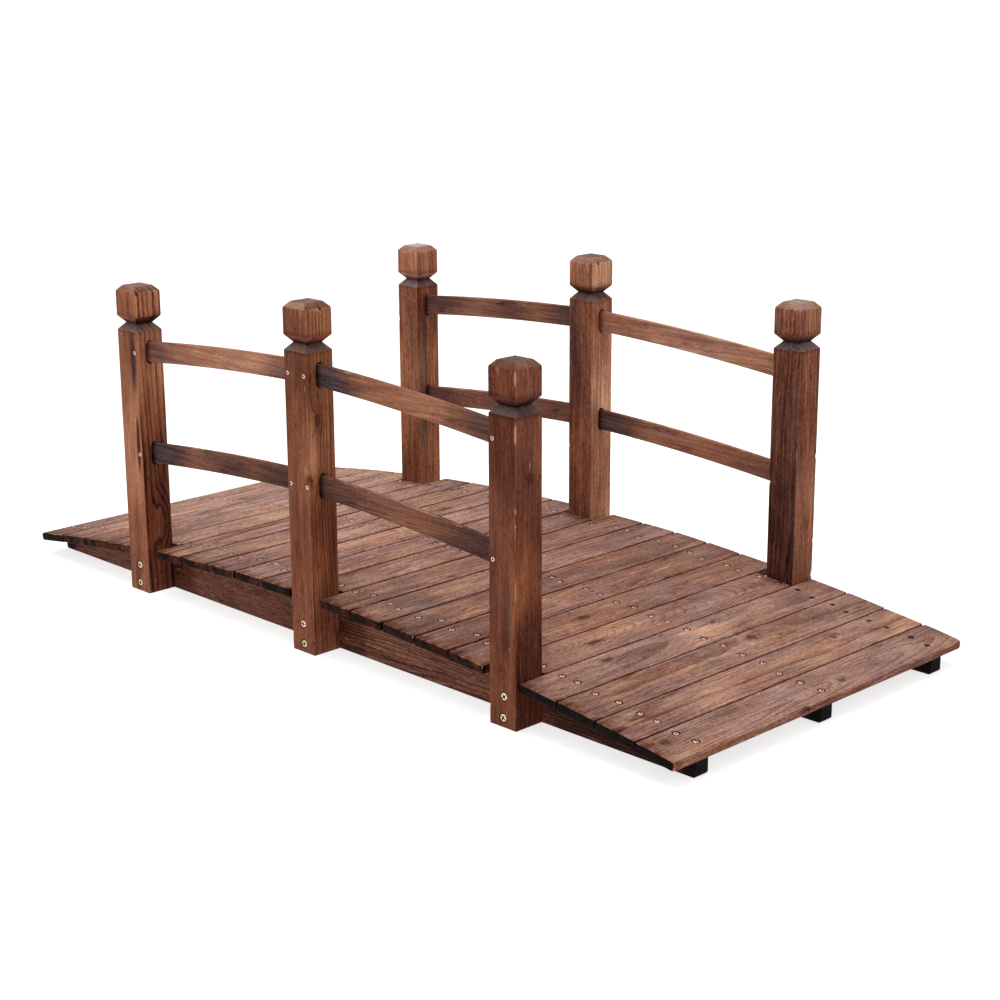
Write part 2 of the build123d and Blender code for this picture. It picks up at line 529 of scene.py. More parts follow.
def rounded_outline(corners, turn, fills, bow=(0.0,) * 4):
    """A section's outline, with its sides pressed in by up to bow.

    Each corner is its arc's centre, radius and first angle in degrees. The arcs run the way
    that turn says, and fills counts the steps along each side.
    """
    def on_arc(k, degrees):
        (x, y), radius, start = corners[k % 4]
        a = math.radians(start + turn * degrees)
        return x + radius * math.cos(a), y + radius * math.sin(a)

    outline = []
    for k in range(4):
        outline += [on_arc(k, 30 * step) for step in range(4)]
        (x0, y0), (x1, y1) = outline[-1], on_arc(k + 1, 0)
        facing = math.radians(corners[(k + 1) % 4][2])
        for step in range(1, fills[k]):
            share = step / fills[k]
            push = bow[k] * math.sin(math.pi * share)
            outline.append((x0 + (x1 - x0) * share - push * math.cos(facing),
                            y0 + (y1 - y0) * share - push * math.sin(facing)))
    return outline


def sleeve(mesh, loops, skin=0):
    """Faces between each closed loop of points and the next."""
    for one, other in zip(loops, loops[1:]):
        for k in range(len(one)):
            n = (k + 1) % len(one)
            mesh.faces.new((one[k], one[n], other[n], other[k])).material_index = skin


def cone(mesh, place, outward, inner, outer, depth):
    """A countersink's shape, from inner radius at its depth to outer radius at the surface."""
    side = outward.orthogonal().normalized()
    turn = Matrix((side, outward.cross(side), outward)).transposed().to_4x4()
    rise = 0.001
    slope = (outer - inner) / depth
    middle_of_cone = place + outward * (rise - depth) / 2
    bmesh.ops.create_cone(mesh, cap_ends=True, segments=20, radius1=inner,
                          radius2=outer + slope * rise, depth=depth + rise,
                          matrix=Matrix.Translation(middle_of_cone) @ turn)


def middle(low, high):
    """A box's centre, and half its size each way."""
    return (low + high) / 2, [(b - a) / 2 for a, b in zip(low, high)]


# ---------------------------------------------------------------- deck planks
PLANK_COUNT = len(PLANKS)
LAST = PLANK_COUNT - 1
CROWN = PLANK_COUNT // 2
crown_centre, crown_half = middle(*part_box(PLANKS[CROWN]))
PLANK_HALF = crown_half[0]
PLANK_THICK = crown_half[2] * 2
near_centre, _ = middle(*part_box(PLANKS[-2]))
near_drop = crown_centre.z - near_centre.z
DECK_RADIUS = (near_centre.x ** 2 + near_drop ** 2) / (2 * near_drop)
PLANK_TURN = math.asin(near_centre.x / DECK_RADIUS) / (CROWN - 1)

SCREW_LINES = (-0.266, 0.003, 0.270)    # where each row of deck screws runs, over a beam
SCREW_PAIR = (-0.0185, 0.0130)          # a plank's two screws in one row
DECK_HEAD = 0.0039                      # radius of a deck screw's head
DECK_PIT = 0.0053                       # radius of the countersink round it
PIT_DEPTH = 0.0016                      # how deep that is
screw_rng = random.Random(7)
DECK_SCREWS = []
for i in range(PLANK_COUNT):
    stray = 1.9 if i < 15 else 1.0      # the rows are straighter at the deck's right end
    DECK_SCREWS.append([(across + screw_rng.uniform(-0.004, 0.004) * stray,
                         row + screw_rng.uniform(-0.005, 0.005) * stray)
                        for row in SCREW_LINES for across in SCREW_PAIR])

# Luminance of each plank, from the left
PLANK_LUMINANCE = (127, 135, 134, 135, 133, 127, 124, 128, 131, 119, 117, 114, 119, 112, 104,
                   112, 120, 127, 121, 122, 128)
# How far the scorch reaches in from a plank's long edges, in mm. The dark band is partly burnt
# edge and partly painted shade along the seams.
EDGE_SCORCH_AND_SEAM_SHADE = (0.8, 0.8, 1.0, 1.4, 2.4, 2.6, 2.6, 2.6, 2.6, 2.4, 2.0, 1.8, 1.8, 1.6, 1.4, 1.2,
               1.0, 0.8, 0.6, 0.6, 0.6)
END_ROUND = 0.0016                      # in section, at the planks' sawn ends
CORNER_ROUND = {0: 0.0025, LAST: 0.006}     # in plan, on the outer corners of the end planks
CORNER_EASE = 0.0022                    # and on all the others
# Knots seen on some planks: (across, along, radius, stretch, golden)
PLANK_KNOTS = {
    12: ((0.032, 0.092, 0.0035, 0.25, True),),
    14: ((0.000, -0.035, 0.0075, 0.55, True), (0.022, 0.111, 0.0040, 0.22, True)),
    15: ((0.014, -0.136, 0.0055, 0.6, True), (-0.002, -0.085, 0.0065, 0.7, False),
         (-0.020, 0.064, 0.0040, 0.5, True), (-0.003, 0.171, 0.0055, 0.6, True)),
    16: ((-0.017, 0.236, 0.0060, 0.7, True), (0.001, -0.141, 0.0045, 0.3, False)),
    17: ((-0.014, 0.060, 0.0030, 0.5, False),),
    18: ((-0.015, 0.065, 0.0060, 0.8, False),),
    20: ((-0.016, 0.076, 0.0050, 0.5, True), (0.010, 0.060, 0.0045, 0.7, False),
         (-0.021, 0.182, 0.0040, 0.5, True), (-0.030, -0.160, 0.0040, 0.5, True),
         (-0.012, -0.298, 0.0060, 0.7, False)),
}
# Grey smoke on planks: (across, along, half width, half length)
PLANK_SMOKE = {
    13: ((0.010, 0.10, 0.022, 0.07),),
    15: ((0.018, -0.22, 0.016, 0.08),),
    17: ((0.005, 0.24, 0.024, 0.06),),
    18: ((-0.004, 0.20, 0.028, 0.08), (0.012, -0.05, 0.016, 0.05)),
    19: ((0.010, 0.26, 0.022, 0.05), (0.016, 0.02, 0.014, 0.07)),
    20: ((-0.020, -0.18, 0.012, 0.07),),
}
# Planks whose rings surface in a feathered figure: lines, spacing, pith and lean
FEATHERED = {
    15: (0.45, 0.0024, (0.010, 0.016, 0.0), (0.0, 0.06, 0.0)),
    16: (0.60, 0.0021, (-0.004, 0.013, 0.0), (0.01, 0.09, 0.0)),
    20: (0.65, 0.0050, (0.030, 0.030, 0.0), (0.02, 0.05, 0.0)),
}


def screw_scale(index, k):
    """The sooty screws at the deck's right back corner sit deeper and show smaller."""
    return 0.74 if k > 3 and index > 16 else 1.0


def plank_frame(index):
    """Centre, axes (across, down, along) and half length of a plank."""
    angle = (index - CROWN) * PLANK_TURN
    s, c = math.sin(angle), math.cos(angle)
    centre = Vector((DECK_RADIUS * s, 0, crown_centre.z - DECK_RADIUS * (1 - c)))
    axes = (Vector((c, 0, -s)), Vector((-s, 0, -c)), Vector((0, 1, 0)))
    _, half = middle(*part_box(PLANKS[index]))
    return centre, axes, half[1]


def plank_knots(m, index):
    """A few small knots anywhere, then those that the plank is known by."""
    rng = m.rng
    for _ in range(rng.choice((0, 1, 1, 2))):
        place = (rng.uniform(-0.026, 0.026), 0.0, rng.uniform(-0.30, 0.30))
        m.knot(place, rng.uniform(0.003, 0.006), (1.0, 0.0, rng.uniform(0.4, 0.8)),
               golden=rng.random() < 0.5, ring=rng.uniform(0.2, 0.9))
    for across, along, radius, stretch, golden in PLANK_KNOTS.get(index, ()):
        m.knot((across, 0.0, along), radius, (1.0, 0.0, stretch), golden, 1.2,
               0.35 if golden else 0.8)


def plank_soot_and_shade(m, index, from_edge, from_end):
    """Soot round the screws, on the ends and flanks; painted shade on end planks' faces not facing
    up.
    """
    w, rng = m.w, m.rng
    nearest = 1.0
    for k, (across, along) in enumerate(DECK_SCREWS[index]):
        away = m.away((across, 0.0, along), (1.0, 0.0, 1.0)) / screw_scale(index, k)
        nearest = w.math("MINIMUM", nearest, away)
    ring = nearest.ramp(DECK_PIT * 1.24, DECK_PIT * 1.04, 0.0, rng.uniform(0.6, 1.0))
    sooted = rng.uniform(-0.6, 0.8) if index < 17 else -2.0
    ragged = w.grain(m.point, 34.0, 34.0).ramp(sooted, sooted + 0.7, 0.42, 1.0)
    end_face = abs(m.ny).ramp(0.78, 0.94)
    m.value -= end_face * 0.15
    flanks = (from_edge.ramp(0.0022, 0.0012) * from_end.ramp(0.012, 0.006, 0.34, 1.0)
              * abs(m.nx).ramp(0.55, 0.85, 0.34, 1.0))
    charred_flank = w.high(flanks, m.y.ramp(0.0, PLANK_THICK / 2, 0.0, 0.5))
    if index in CORNER_ROUND:
        outward = m.x if index else m.x * -1.0
        charred_flank *= outward.ramp(0.0, 0.002, 1.0, 0.12)
        # painted shade: on the two end planks, the faces that don't look up are darker
        m.value -= m.nz.ramp(0.8, 0.4, 0.0, 0.19)
    m.char = w.high(ring, end_face * ragged, charred_flank)


def plank_edges(m, index, from_edge, from_end):
    """Darker and uneven towards the long edges and the ends, with worn arrises."""
    w = m.w
    border = w.grain(m.point, 60.0, 22.0, 3.0, 0.6)
    m.value += from_edge.ramp(0.0065, 0.001) * (border * 0.07)
    # the scorched band along the long edges: partly burnt edge, partly painted shade along the
    # seams
    scorch = EDGE_SCORCH_AND_SEAM_SHADE[index]
    m.value -= (from_edge.ramp(scorch * 0.0013, scorch * 0.0006)
                * border.ramp(-1.0, 0.4, 0.22, 0.36) * m.nz.ramp(0.3, 0.7))
    m.value -= from_end.ramp(0.030, 0.004) * border.ramp(-0.6, 0.8, 0.02, 0.12)
    at_end = from_end.ramp(0.004, 0.002, 0.55 - 0.16 * scorch, 0.75)
    m.wear = m.arrises() * (m.y.ramp(0.0, -0.004) * at_end)


def plank_spots(m, index):
    """Bare spots anywhere, then the smoke and the worn place that are seen on the plank."""
    w, rng = m.w, m.rng
    for _ in range(rng.choice((1, 2, 2, 3))):
        place = (rng.uniform(-0.03, 0.03), 0.0, rng.uniform(-0.3, 0.3))
        size = (rng.uniform(0.004, 0.010), 1.0, rng.uniform(0.015, 0.045))
        m.bare = w.high(m.bare, m.spot(place, size, rng.uniform(0.3, 0.6)))
    if index == 17:
        streaky = w.grain(m.point, 260.0, 14.0).ramp(-0.9, 0.6, 0.35, 1.15)
        m.smoke = m.spot((-0.015, 0.0, 0.080), (0.009, 1.0, 0.090), 1.0, 0.45) * streaky
    for across, along, wide, long in PLANK_SMOKE.get(index, ()):
        m.smoke = w.high(m.smoke, m.spot((across, 0.0, along), (wide, 1.0, long), 0.75, 0.1))
    if index == 19:
        m.bare = w.high(m.bare, m.spot((-0.015, 0.0, -0.13), (0.010, 1.0, 0.25), 0.42, 0.1))


def plank_material(index):
    centre, axes, half_length = plank_frame(index)
    m = TimberMaterial(PLANKS[index] + "_wood", "deck", centre, axes, 100 + index)
    w, rng = m.w, m.rng
    from_edge, from_end = PLANK_HALF - abs(m.x), half_length - abs(m.z)
    m.value = m.z.ramp(-0.33, -0.05, -0.10 if index < 4 else -0.035, 0.0)
    m.value += tone(PLANK_LUMINANCE[index])
    plank_knots(m, index)
    plank_soot_and_shade(m, index, from_edge, from_end)
    if index == LAST:
        chipped = m.spot((PLANK_HALF, 0.0, -half_length), (0.0065, 1.0, 0.007), 1.0, 0.6)
        m.char *= 1.0 - chipped
        m.value += chipped * 0.22
    plank_edges(m, index, from_edge, from_end)
    m.value -= (m.z.ramp(-half_length + 0.10, -half_length)
                * w.grain(m.point, 55.0, 16.0).ramp(-0.2, 0.9, 0.0, 0.16))
    plank_spots(m, index)
    pith = (rng.uniform(-0.06, 0.06), rng.choice((-1, 1)) * rng.uniform(0.02, 0.09), 0.0)
    plain = (rng.uniform(0.35, 0.75), rng.uniform(0.0045, 0.0075), pith, None)
    lines, spacing, pith, lean = FEATHERED.get(index, plain)
    # stronger streaks and fine grain on the far planks: partly grain, partly painted sheen, the
    # highlights these planks catch at a grazing view
    far = max(0.0, 1.0 - index / 14)
    return m.finish(lines=lines, streaks=rng.uniform(0.55, 0.85) + far, fine=2.1 + 1.5 * far,
                    patches=1.5, drift=rng.uniform(0.75, 1.0), haze=rng.uniform(0.3, 0.8),
                    spacing=spacing, pith=pith, lean=lean)


def board_section(index, outer, strays, at, from_end):
    """A plank's outline at one place along it, clockwise from its top left arris.

    Outer is the side where the deck ends, or 0. There the plank's corners are rounder.
    """
    key = 3.7 * index
    inset = rounded_in(from_end, END_ROUND)
    bounds = []
    for side in (-1, 1):
        wander = (0.0005 * wobble(at * 7, side * 5, key) + 0.0003 * wobble(at * 45, side, key)
                  + strays[side])
        wander += rounded_in(from_end, CORNER_ROUND[index] if side == outer else CORNER_EASE)
        bounds.append(side * (PLANK_HALF - wander - inset))
    radii = []
    for corner in range(4):
        ease = 0.0008 + 0.0022 * chips(0.0, at * 24, corner * 9, key)
        chip = 0.010 * chips(0.42, at * 110, corner * 7, key + 50)
        radius = min(ease + chip, 0.0042) if corner < 2 else 0.0010
        if corner in {-1: (0, 3), 0: (), 1: (1, 2)}[outer]:
            radius = 0.0040 + 0.4 * chip
        radii.append(max(0.0003, radius - inset * 0.6))
    a, b, c, d = radii
    left, right = bounds
    top = PLANK_THICK / 2 - inset
    corners = (((left + a, top - a), a, 180), ((right - b, top - b), b, 90),
               ((right - c, c - top), c, 0), ((left + d, d - top), d, -90))
    return rounded_outline(corners, -1, (10, 2, 6, 2))


def board(index):
    """A plank with sawn edges that wander, uneven arrises and small chips."""
    centre, axes, half_length = plank_frame(index)
    rng = random.Random(2000 + index)
    length = half_length * 2
    key = 3.7 * index
    outer = {0: -1, LAST: 1}.get(index, 0)
    cuts = [rng.uniform(0.0, 0.0022) for _ in range(2)]
    skews = [rng.uniform(-0.0007, 0.0007) for _ in range(2)]
    narrower = 0.0006 if 4 < index < 15 else 0.0
    strays = {side: rng.choice((0.0, 0.0001, 0.0002, 0.0005)) + narrower for side in (-1, 1)}
    if outer:
        strays[outer] = 0.0
    count = int(length / 0.004)
    steps = [END_ROUND * s for s in (0.0, 0.2, 0.5, 1.0, 1.7)]
    flats = [END_ROUND + (length - 2 * END_ROUND) * k / count for k in range(1, count)]
    mesh = bmesh.new()
    loops = []
    for place in steps + flats + [length - s for s in reversed(steps)]:
        at = place - half_length
        end = int(at > 0)
        loop = []
        for u, v in board_section(index, outer, strays, at, min(place, length - place)):
            if v > 0:
                v -= v / (PLANK_THICK / 2) * (0.0003 * (u / PLANK_HALF) ** 2
                                              + 0.0004 * wobble(u * 28, at * 5, key + 20)
                                              + 0.0002 * wobble(u * 160, at * 14, key + 30))
            reach = (half_length - cuts[end] - skews[end] * u / PLANK_HALF
                     - 0.0006 * wobble(u * 90, v * 120, key + end * 11))
            along = at / half_length * (reach - 0.0007)
            loop.append(mesh.verts.new(centre + axes[0] * u - axes[1] * v + axes[2] * along))
        loops.append(loop)
    sleeve(mesh, loops)
    mesh.faces.new(list(reversed(loops[0])))
    mesh.faces.new(loops[-1])
    bmesh.ops.recalc_face_normals(mesh, faces=mesh.faces)
    return mesh


def pit_cutter(index):
    """Cones that cut the screws' countersinks out of a plank."""
    centre, axes, _ = plank_frame(index)
    mesh = bmesh.new()
    for k, (across, along) in enumerate(DECK_SCREWS[index]):
        size = screw_scale(index, k)
        top = centre + axes[0] * across - axes[1] * (PLANK_THICK / 2) + axes[2] * along
        cone(mesh, top, -axes[1], DECK_HEAD * 0.8 * size, DECK_PIT * size, PIT_DEPTH)
    return mesh


for i, name in enumerate(PLANKS):
    carve(name.replace("plank", "board"), name, board(i), pit_cutter(i),
          plank_material(i))


# ---------------------------------------------------------------- beams
ALONG = (Vector((0, 1, 0)), Vector((0, 0, 1)), Vector((1, 0, 0)))


def beam_material(name, seed):
    centre, half = middle(*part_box(name))
    m = TimberMaterial(name + "_wood", "beam", centre, ALONG, seed)
    w, rng = m.w, m.rng
    for _ in range(4):
        m.knot((0.0, rng.uniform(-0.02, 0.02), rng.uniform(-0.6, 0.6)),
               rng.uniform(0.003, 0.006), (0.0, 1.0, 0.5), ring=0.5)
    # painted shadows: darker bands just to the right of two of the posts, where they shade the beam
    post_shadows = w.high(*(abs(m.z - at).ramp(0.05, 0.02, 0.0, 0.13) for at in (-0.39, 0.05)))
    m.value = m.value + tone(76) - post_shadows
    # charred at both ends; from 0.44 m along to the right end the darkening is partly char and
    # partly a painted shadow of the right posts and the deck
    m.char = w.high(m.z.ramp(0.44, 0.50, 0.0, 0.55),
                    abs(m.z).ramp(half[0] - 0.05, half[0] - 0.004, 0.0, 1.15))
    m.wear = m.arrises() * 0.3
    return m.finish(lines=m.z.ramp(-0.05, 0.05, 0.25, 1.0),
                    streaks=m.z.ramp(-0.05, 0.05, 0.45, 1.15), fine=2.0, patches=1.0,
                    drift=0.6, haze=0.1, spacing=0.0025, pith=(0.05, -0.03, 0.0),
                    lean=(0.0, 0.012, 0.0))


for i, name in enumerate(("front_beam", "middle_beam", "back_beam")):
    dress(name, beam_material(name, 300 + i))


# ---------------------------------------------------------------- posts
UPRIGHT = (Vector((1, 0, 0)), Vector((0, 1, 0)), Vector((0, 0, 1)))
SHAFT_ZONES = (0.09, 0.21, 0.30, 0.40)  # heights on a post where its tones are given
RAIL_DROPS = (0.1095, 0.2805)           # from the top of a post down to each rail
GROOVE_DEPTH = 0.0106
CAP_INSET = 0.009                       # how far in the cap's flat top begins
POST_ARRIS = 0.0011                     # usual radius of a post's long edges
MORTISE = (0.016, 0.007, 0.01975)       # depth, half width and half height
MORTISED = {"left": (1,), "middle": (-1, 1), "right": (-1,)}
FOOT_SCREWS = (0.046, 0.014)            # heights of the screws into the beam
POST_HEAD = 0.0058                      # radius of their heads
RAIL_HEAD = 0.0036                      # and of those that hold the rails
RAIL_SCREW_OUT = 0.019                  # how far a rail's screw is from the middle of the post

# Luminance of the faces that look along Y and along X: up the shaft in four zones, then at the
# head; luminance of the top and of its two kinds of chamfer; then of the groove's lower and
# upper slopes, along Y and X; how strong the growth rings are on those faces, and how much more
# on the head; the drifting smoke; the rings' spacing and their pith. The luminances are as each
# face looks under the light, so with the wood's own tone they hold painted light and shade: the
# faces along Y and X, the chamfers and the groove's slopes are painted lighter or darker
# by how the light falls on them.
PostLook = namedtuple("PostLook", "front side top up under lines haze spacing pith")
POST_LOOKS = {
    "front_left": PostLook(
        (92, 121, 118, 99, 97), (62, 67, 91, 117, 112), (110, 112, 88), (138, 120), (112, 70),
        (0.2, 1.0, 0.35), 0.4, 0.0085, (0.012, 0.085, 0.0)),
    "front_middle": PostLook(
        (84, 88, 89, 79, 80), (79, 67, 100, 85, 100), (86, 130, 79), (140, 102), (101, 112),
        (0.15, 0.75, 0.35), 0.45, 0.0062, (-0.015, 0.10, 0.0)),
    "front_right": PostLook(
        (70, 79, 75, 56, 65), (50, 77, 71, 79, 82), (82, 74, 94), (104, 97), (72, 75),
        (0.15, 0.12, 0.15), 0.4, 0.006, (-0.03, 0.07, 0.0)),
    "back_left": PostLook(
        (78, 110, 108, 98, 122), (103, 92, 104, 78, 93), (152, 121, 113), (155, 96), (165, 140),
        (0.2, 0.35, 0.1), 0.5, 0.007, (0.02, -0.09, 0.0)),
    "back_middle": PostLook(
        (88, 94, 90, 88, 114), (130, 120, 150, 114, 154), (88, 117, 125), (104, 114), (88, 112),
        (0.2, 0.35, 0.05), 0.5, 0.007, (0.03, -0.08, 0.0)),
    "back_right": PostLook(
        (50, 64, 86, 88, 100), (100, 110, 86, 86, 99), (121, 124, 126), (103, 150), (105, 77),
        (0.65, 0.6, 0.45), 0.5, 0.0042, (0.02, -0.09, 0.0)),
}
DENTS = {   # places on the posts where a chip is missing: centre, radius and depth
    "front_left": (((0.026, -0.020, 0.5110), 0.0058, 0.0018),),
    "front_middle": (((0.026, 0.005, 0.5375), 0.0060, 0.0024),
                     ((0.026, -0.026, 0.020), 0.0045, 0.0015)),
    "back_middle": (((0.026, -0.010, 0.5375), 0.0050, 0.0014),),
}


def post_frame(name):
    """The middle of a post's foot, its height and half its width."""
    low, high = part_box("post_" + name)
    centre = Vector(((low.x + high.x) / 2, (low.y + high.y) / 2, low.z))
    return centre, high.z - low.z, (high.x - low.x) / 2


def post_levels(height):
    """How high the groove's lower and upper edges and the cap's edge are."""
    return height - HEAD_TOP - GROOVE, height - HEAD_TOP, height - CAP_CHAMFER


def mortises(name):
    """Which way along X each mortise of a post faces, and how high it is."""
    _, height, _ = post_frame(name)
    return [(toward, height - drop) for drop in RAIL_DROPS
            for toward in MORTISED[name.split("_")[1]]]


def post_screws(name):
    """Screws in a post's outer face: (place, outward, head radius)."""
    centre, _, half = post_frame(name)
    sign = -1 if name.startswith("front") else 1
    rng = random.Random(name)
    spots = [(rng.uniform(-0.002, 0.002), up, POST_HEAD) for up in FOOT_SCREWS]
    spots += [(toward * RAIL_SCREW_OUT, up + 0.001, RAIL_HEAD) for toward, up in mortises(name)]
    face = centre + Vector((0, sign * half, 0))
    return [(face + Vector((x, 0, z)), Vector((0, sign, 0)), radius) for x, z, radius in spots]


def post_rings(height, half):
    """Half widths up a post: (z, half width), with its edges slightly worn."""
    shoulder, head_foot, cap_edge = post_levels(height)
    profile = ((0.0, half), (shoulder, half), (shoulder + GROOVE / 2, half - GROOVE_DEPTH),
               (head_foot, half), (cap_edge, half), (height, half - CAP_INSET))
    worn = 0.0009
    rings = [(0.0, half - 0.0006)]
    for (z0, h0), (z1, h1) in zip(profile, profile[1:]):
        count = max(2, round((z1 - z0) / 0.004))
        places = [z0 + worn] + [z0 + (z1 - z0) * k / count for k in range(1, count)] + [z1 - worn]
        rings += [(z, h0 + (h1 - h0) * (z - z0) / (z1 - z0)) for z in places]
        if z1 < height:
            rings.append((z1, h1 - (0.00035 if h1 == half else 0.0)))
    top_half = half - CAP_INSET - 0.0008
    return rings + [(height, top_half)] + [(height, top_half * share) for share in (0.7, 0.35)]


def post_mesh(name):
    """A post whose faces wander a little, with uneven arrises and small chips."""
    centre, height, half = post_frame(name)
    key = 5.1 * list(POST_LOOKS).index(name) + 3
    mesh = bmesh.new()
    loops = []
    for z, width in post_rings(height, half):
        corners, bow = [], []
        for k, (sx, sy) in enumerate(((1, 1), (-1, 1), (-1, -1), (1, -1))):
            ease = POST_ARRIS * (0.6 + 0.8 * wobble(z * 14, k * 9, key))
            chip = 0.012 * chips(0.48, z * 95, k * 7, key + 40)
            sharp = max(0.0, (half - width) * 1.2)
            radius = min(max(ease + chip - sharp, 0.0004), width * 0.4)
            corners.append(((sx * (width - radius), sy * (width - radius)), radius, 90 * k))
            bow.append(0.0003 * wobble(z * 9, k * 4, key + 60))
        loop = []
        for x, y in rounded_outline(corners, 1, (10,) * 4, bow):
            rough = 0.00012 * wobble(x * 210 + key, y * 210, z * 60)
            edge = drop = 0.0
            if z > height - CAP_CHAMFER - 0.002:
                edge = 0.0004 * wobble(x * 120, y * 120, key + 80)
            scale = 1 - (rough + edge) / max(width, 0.004)
            if z > height - 0.0005:
                drop = 0.0003 * wobble(x * 150, y * 150, key + 90)
            place = Vector((x * scale, y * scale, z - drop))
            for dent, radius, depth in DENTS.get(name, ()):
                away = (place - Vector(dent)).length / radius
                if away < 1:
                    inward = Vector((-place.x, -place.y, -0.015)).normalized()
                    place += inward * depth * (1 - away * away)
            loop.append(mesh.verts.new(centre + place))
        loops.append(loop)
    sleeve(mesh, loops)
    mesh.faces.new(list(reversed(loops[0])))
    tip = mesh.verts.new(centre + Vector((0, 0, height - 0.0002)))
    for k in range(len(loop)):
        mesh.faces.new((loop[k], loop[(k + 1) % len(loop)], tip))
    return mesh


def post_cutter(name):
    """Mortises for the rails and countersinks for the screws."""
    centre, _, half = post_frame(name)
    mesh = bmesh.new()
    depth, wide, tall = MORTISE
    arc = [math.pi * k / 8 for k in range(9)]
    for toward, up in mortises(name):
        ends = [[mesh.verts.new(centre + Vector((toward * x, end * wide * math.cos(a),
                                                 up + end * (tall - wide + wide * math.sin(a)))))
                 for end in (1, -1) for a in arc] for x in (half - depth, half + 0.002)]
        sleeve(mesh, ends)
        mesh.faces.new(ends[0])
        mesh.faces.new(ends[1])
    for place, outward, radius in post_screws(name):
        cone(mesh, place, outward, radius * 0.8, radius * 1.13, radius * 0.4)
    bmesh.ops.recalc_face_normals(mesh, faces=mesh.faces)
    return mesh


def post_features(name, m):
    """Knots, smoke and bare spots that single out some of the posts."""
    high, spot = m.w.high, m.spot
    if name == "front_left":
        m.smoke = spot((0.014, -0.026, 0.400), (0.011, 0.03, 0.080), 1.1, 0.3)
        lens = high(spot((0.017, -0.026, 0.258), (0.0055, 0.03, 0.055), 1.0, 0.6),
                    spot((0.015, -0.026, 0.400), (0.0065, 0.03, 0.062), 0.5, 0.2))
        m.value -= lens * 0.34 + m.smoke * 0.08
        m.shift += spot((0.026, 0.012, 0.120), (0.05, 0.030, 0.085), 2.6, 0.0)
    elif name == "front_middle":
        m.knot((0.026, -0.007, 0.370), 0.0045, (0.3, 1.0, 0.6), push=1.4)
        m.knot((0.0235, -0.0235, 0.278), 0.0050, (0.7, 0.7, 0.6), push=1.6, ring=0.4)
        m.bare = high(spot((0.026, -0.020, 0.215), (0.02, 0.006, 0.065), 0.42, 0.0),
                      spot((0.018, -0.026, 0.294), (0.014, 0.02, 0.026), 0.50, 0.0),
                      spot((0.022, -0.026, 0.420), (0.0012, 0.02, 0.009), 0.9))
        m.value += spot((0.026, -0.018, 0.300), (0.03, 0.011, 0.12), 1.0, 0.3) * 0.12
    elif name == "front_right":
        eye = (0.026, 0.002, 0.359)
        m.knot(eye, 0.0035, (0.3, 1.0, 0.7), push=0.8)
        m.value -= spot(eye, (0.02, 0.0030, 0.0038), 0.22, 0.6)
        m.knot((0.006, -0.026, 0.128), 0.0050, (1.0, 0.3, 0.7), push=1.4, ring=0.5)
        for up, long, strength in ((0.424, 0.022, 1.2), (0.317, 0.009, 0.8), (0.297, 0.006, 0.7),
                                   (0.205, 0.035, 0.55), (0.500, 0.016, 1.4)):
            chipped = spot((0.026, -0.026, up), (0.0034, 0.0034, long), strength)
            m.bare = high(m.bare, chipped)
        m.bare = high(m.bare, spot((0.026, 0.002, 0.377), (0.02, 0.0022, 0.011), 0.5),
                      spot((0.012, -0.026, 0.118), (0.006, 0.02, 0.010), 0.5))
        m.smoke = spot((0.008, -0.026, 0.175), (0.015, 0.03, 0.13), 0.8, 0.2)
    elif name == "back_left":
        m.smoke = high(spot((0.026, -0.012, 0.25), (0.03, 0.015, 0.27), 1.0, 0.1),
                       spot((0.012, -0.026, 0.36), (0.012, 0.03, 0.12), 0.6, 0.3))
    elif name == "back_middle":
        m.smoke = high(spot((0.026, 0.0, 0.245), (0.03, 0.014, 0.045), 0.7, 0.2),
                       spot((-0.012, -0.026, 0.38), (0.024, 0.03, 0.15), 0.85, 0.45))
        m.value += spot((0.026, 0.006, 0.285), (0.03, 0.016, 0.05), 0.10)
    else:
        m.knot((0.026, -0.012, 0.350), 0.0026, (0.3, 1.0, 0.6), push=0.8)
        m.smoke = high(spot((0.026, 0.024, 0.30), (0.03, 0.012, 0.25), 0.7, 0.3),
                       spot((0.0, -0.026, 0.20), (0.08, 0.010, 0.34), 0.75, 0.4))


def post_soot_and_shade(name, m):
    """Painted shade in the mortises and round their mouths; soot round the screws; darker in the
    dents.
    """
    w = m.w
    centre, _, half = post_frame(name)
    _, wide, tall = MORTISE
    dark = 0.0
    for toward, up in mortises(name):
        out = m.x * toward
        # painted shade: darker inside each mortise and round its mouth
        mortise_shade = (abs(m.z - up).ramp(tall + 0.002, tall + 0.0004)
                  * abs(m.y).ramp(wide + 0.0012, wide + 0.0003))
        inside = out.window(0.0, 0.004, half - 0.0015, half - 0.0005)
        rim = m.spot((toward * half, 0.0, up), (0.010, 0.012, 0.026), 0.30, 0.6)
        dark = w.high(dark, mortise_shade * inside * 0.15, rim)
    for place, outward, radius in post_screws(name):
        away = m.away(place - centre, (1.0, 0.05, 1.0))
        outside = (m.y * outward.y).ramp(0.0, 0.01)
        dark = w.high(dark, away.ramp(radius * 1.35, radius * 1.1) * outside)
    for dent, radius, _ in DENTS.get(name, ()):
        dark = w.high(dark, m.spot(dent, (radius,) * 3, 0.6, 0.5))
    return dark


